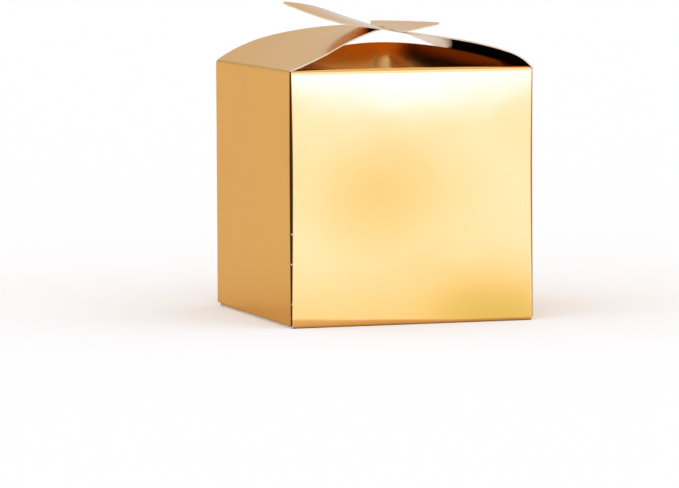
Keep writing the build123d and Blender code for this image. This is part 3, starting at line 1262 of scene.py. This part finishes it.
@dataclass(frozen=True)
class Pool:
    """A soft oval on the card, lighter or darker: its middle and half-sizes in metres, and its level."""

    middle: tuple[float, float]
    half_size: tuple[float, float]
    level: float

    def shade(self, tree: bpy.types.NodeTree, spot: bpy.types.NodeSocket) -> bpy.types.NodeSocket:
        """Adds the nodes that fade the oval out from its middle.

        Args:
            tree: The card's node tree.
            spot: The place on the card, across and up.

        Returns:
            The oval's share of the glow.
        """
        shifted = add_node(
            tree, "ShaderNodeVectorMath", {"operation": "SUBTRACT"}, {0: spot, 1: (*self.middle, 0.0)}
        )
        scaled = add_node(
            tree,
            "ShaderNodeVectorMath",
            {"operation": "DIVIDE"},
            {0: shifted.outputs["Vector"], 1: (*self.half_size, 1.0)},
        )
        reach = add_node(
            tree, "ShaderNodeVectorMath", {"operation": "LENGTH"}, {0: scaled.outputs["Vector"]}
        )
        faded = add_node(
            tree,
            "ShaderNodeMapRange",
            {"interpolation_type": "SMOOTHSTEP"},
            {"Value": reach.outputs["Value"], "To Min": self.level, "To Max": 0.0},
        )
        return faded.outputs["Result"]


@dataclass
class Studio:
    """Pale floor, a soft light card, an even room and the camera.

    The floor and the card are in metres, and the camera's place is in mm.
    """

    floor_reach: float = 8.0
    floor_height: float = -0.00005
    card_bearing: float = math.radians(18.0)
    card_foot: tuple[float, float, float] = (0.0, -0.038, 0.0)
    card_lip: tuple[float, float] = (0.004, 0.14)
    card_half_width: float = 0.12
    card_height: float = 0.3
    card_lift: float = 0.001
    # The card's glow, its fall with distance in the mirror, its ovals, and the bright band along its top
    card_level: float = 1.86
    card_sink: float = 0.0897
    card_pools: tuple[Pool, ...] = (
        Pool((-0.008, 0.040), (0.041, 0.032), -0.37),
        Pool((0.026, 0.004), (0.040, 0.026), -0.42),
        Pool((0.000, -0.004), (0.200, 0.027), -0.36),
    )
    card_band: tuple[float, float, float, float] = (0.0645, 0.0750, 0.090, 0.130)
    card_band_glow: float = 0.62
    card_band_bow: float = 4.13
    card_red: float = 0.87
    card_blue: tuple[float, float] = (1.21, 2.95)
    camera_place: tuple[float, float, float] = (-445.747, -1339.338, 141.211)
    camera_forward: tuple[float, float, float] = (0.3079, 0.9476, -0.0849)
    camera_roll: float = -0.25
    lens: float = 246.78
    sensor_width: float = 36.0
    clip: tuple[float, float] = (0.05, 50.0)
    room_horizon: Shade = (0.92, 1.01, 1.13, 1.0)
    room_overhead: Shade = (1.03, 1.03, 1.03, 1.0)
    overhead_from: float = 0.8

    def lay_floor(self) -> None:
        """Lays the pale floor."""
        ground = bmesh.new()
        bmesh.ops.create_grid(ground, x_segments=2, y_segments=2, size=self.floor_reach)
        bmesh.ops.translate(ground, vec=Vector((0, 0, self.floor_height)), verts=ground.verts[:])
        mesh = bpy.data.meshes.new("floor")
        ground.to_mesh(mesh)
        ground.free()
        mesh.materials.append(SweepFinish().material())
        floor = bpy.data.objects.new("floor", mesh)
        bpy.context.scene.collection.objects.link(floor)

    def stand_card(self) -> None:
        """Stands a glowing card with a lip along the floor, where the front wall mirrors it."""
        away = Vector((math.sin(self.card_bearing), -math.cos(self.card_bearing), 0))
        across = Vector((-away.y, away.x, 0))
        card = bmesh.new()
        near, far = self.card_lip
        start = Vector(self.card_foot) + Z_AXIS * self.card_lift + away * near
        ends = [card.verts.new(start + across * self.card_half_width * side) for side in (-1, 1)]
        edge = card.edges.new(ends)
        for step in (away * (far - near), Z_AXIS * self.card_height):
            grown = bmesh.ops.extrude_edge_only(card, edges=[edge])["geom"]
            moved = [g for g in grown if isinstance(g, bmesh.types.BMVert)]
            bmesh.ops.translate(card, vec=step, verts=moved)
            edge = next(g for g in grown if isinstance(g, bmesh.types.BMEdge))
        mesh = bpy.data.meshes.new("front_card")
        card.to_mesh(mesh)
        card.free()
        mesh.materials.append(self.card_glow(across, away))
        holder = bpy.data.objects.new("front_card", mesh)
        holder.visible_camera = False
        holder.visible_diffuse = False
        holder.visible_shadow = False
        bpy.context.scene.collection.objects.link(holder)

    def card_glow(self, across: Vector, away: Vector) -> bpy.types.Material:
        """Builds the card's glow: even, with soft ovals and a bright bowed band along the top.

        Args:
            across: The way the card's width runs.
            away: The way from the wall to the card.

        Returns:
            The card's material.
        """
        material, tree = new_material("diffused_light_card")
        place = add_node(tree, "ShaderNodeTexCoord").outputs["Object"]
        offset = add_node(
            tree, "ShaderNodeVectorMath", {"operation": "SUBTRACT"}, {0: place, 1: self.card_foot}
        ).outputs["Vector"]
        climb = away * self.card_sink + Z_AXIS
        ways = [
            add_node(tree, "ShaderNodeVectorMath", {"operation": "DOT_PRODUCT"}, {0: offset, 1: way})
            for way in (across, climb)
        ]
        side, height = (way.outputs["Value"] for way in ways)
        spot = add_node(tree, "ShaderNodeCombineXYZ", None, {"X": side, "Y": height}).outputs["Vector"]
        squared = add_node(tree, "ShaderNodeMath", {"operation": "MULTIPLY"}, {0: side, 1: side})
        bowed = add_node(
            tree,
            "ShaderNodeMath",
            {"operation": "MULTIPLY_ADD"},
            {0: squared.outputs[0], 1: -self.card_band_bow, 2: height},
        )
        first, full, last, gone = self.card_band
        rise = add_node(
            tree,
            "ShaderNodeMapRange",
            None,
            {
                "Value": bowed.outputs[0],
                "From Min": first,
                "From Max": full,
                "To Max": self.card_band_glow,
            },
        )
        fall = add_node(
            tree,
            "ShaderNodeMapRange",
            {"interpolation_type": "SMOOTHSTEP"},
            {"Value": height, "From Min": last, "From Max": gone, "To Min": 1.0, "To Max": 0.0},
        )
        level = add_node(
            tree,
            "ShaderNodeMath",
            {"operation": "MULTIPLY_ADD"},
            {0: rise.outputs["Result"], 1: fall.outputs["Result"], 2: self.card_level},
        ).outputs[0]
        for pool in self.card_pools:
            level = add_node(
                tree, "ShaderNodeMath", {"operation": "ADD"}, {0: level, 1: pool.shade(tree, spot)}
            ).outputs[0]
        red = add_node(tree, "ShaderNodeMath", {"operation": "MULTIPLY"}, {0: level, 1: self.card_red})
        neutral, power = self.card_blue
        ratio = add_node(tree, "ShaderNodeMath", {"operation": "DIVIDE"}, {0: level, 1: neutral})
        blue = add_node(tree, "ShaderNodeMath", {"operation": "POWER"}, {0: ratio.outputs[0], 1: power})
        tint = add_node(
            tree, "ShaderNodeCombineXYZ", None, {"X": red.outputs[0], "Y": level, "Z": blue.outputs[0]}
        )
        glow = add_node(
            tree, "ShaderNodeEmission", None, {"Color": tint.outputs["Vector"], "Strength": 1.0}
        )
        add_node(tree, "ShaderNodeOutputMaterial", None, {"Surface": glow.outputs[0]})
        return material

    def light(self) -> None:
        """Lights the room evenly, a little more from above."""
        world = bpy.data.worlds.new("studio_room")
        world.use_nodes = True
        bpy.context.scene.world = world
        tree = world.node_tree
        tree.nodes.clear()
        direction = add_node(tree, "ShaderNodeTexCoord").outputs["Generated"]
        height = add_node(tree, "ShaderNodeSeparateXYZ", None, {"Vector": direction}).outputs["Z"]
        share = add_node(
            tree,
            "ShaderNodeMapRange",
            {"interpolation_type": "SMOOTHSTEP"},
            {"Value": height, "From Min": 0.0, "From Max": self.overhead_from},
        )
        room = add_node(
            tree,
            "ShaderNodeMix",
            {"data_type": "RGBA"},
            {0: share.outputs["Result"], MIX_A: self.room_horizon, MIX_B: self.room_overhead},
        )
        glow = add_node(
            tree, "ShaderNodeBackground", None, {"Color": room.outputs[MIX_OUT], "Strength": 1.0}
        )
        add_node(tree, "ShaderNodeOutputWorld", None, {"Surface": glow.outputs[0]})

    def set_camera(self) -> None:
        """Stands the camera at the photograph's angle, for an image of 679 by 488."""
        data = bpy.data.cameras.new("camera")
        data.sensor_width = self.sensor_width
        data.sensor_fit = "HORIZONTAL"
        data.lens = self.lens
        data.clip_start, data.clip_end = self.clip
        forward = Vector(self.camera_forward).normalized()
        right = forward.cross(Z_AXIS).normalized()
        up = right.cross(forward)
        roll = math.radians(self.camera_roll)
        across = right * math.cos(roll) + up * math.sin(roll)
        upright = up * math.cos(roll) - right * math.sin(roll)
        turned = Matrix((across, upright, -forward)).transposed().to_4x4()
        camera = bpy.data.objects.new("camera", data)
        camera.matrix_world = Matrix.Translation(Vector(self.camera_place) * MM) @ turned
        bpy.context.scene.collection.objects.link(camera)
        bpy.context.scene.camera = camera

    def build(self) -> None:
        """Sets up the whole studio."""
        self.lay_floor()
        self.stand_card()
        self.light()
        self.set_camera()
        bpy.context.scene.view_settings.view_transform = "Standard"


def main() -> None:
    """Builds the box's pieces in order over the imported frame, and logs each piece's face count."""
    logging.basicConfig(level=logging.INFO, format="%(name)s %(message)s")
    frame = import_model()
    Studio().build()
    board = FoilBoard(
        FoilFinish().material(),
        FoilFinish("gold_foil_inside_face", roughness=0.14).material(),
        CutEdgeFinish().material(),
    )
    sleeve = Sleeve()
    pieces = [sleeve.build(board)]
    pieces += TopClosure().build(board)
    pieces += Base().build(board)
    pieces.append(sleeve.dress_seam(frame["nodes"]["seam_adhesive"], GlueFinish().material()))
    for piece in pieces:
        log.info("%s: %d faces", piece.name, len(piece.data.polygons))


if __name__ == "__main__":
    main()
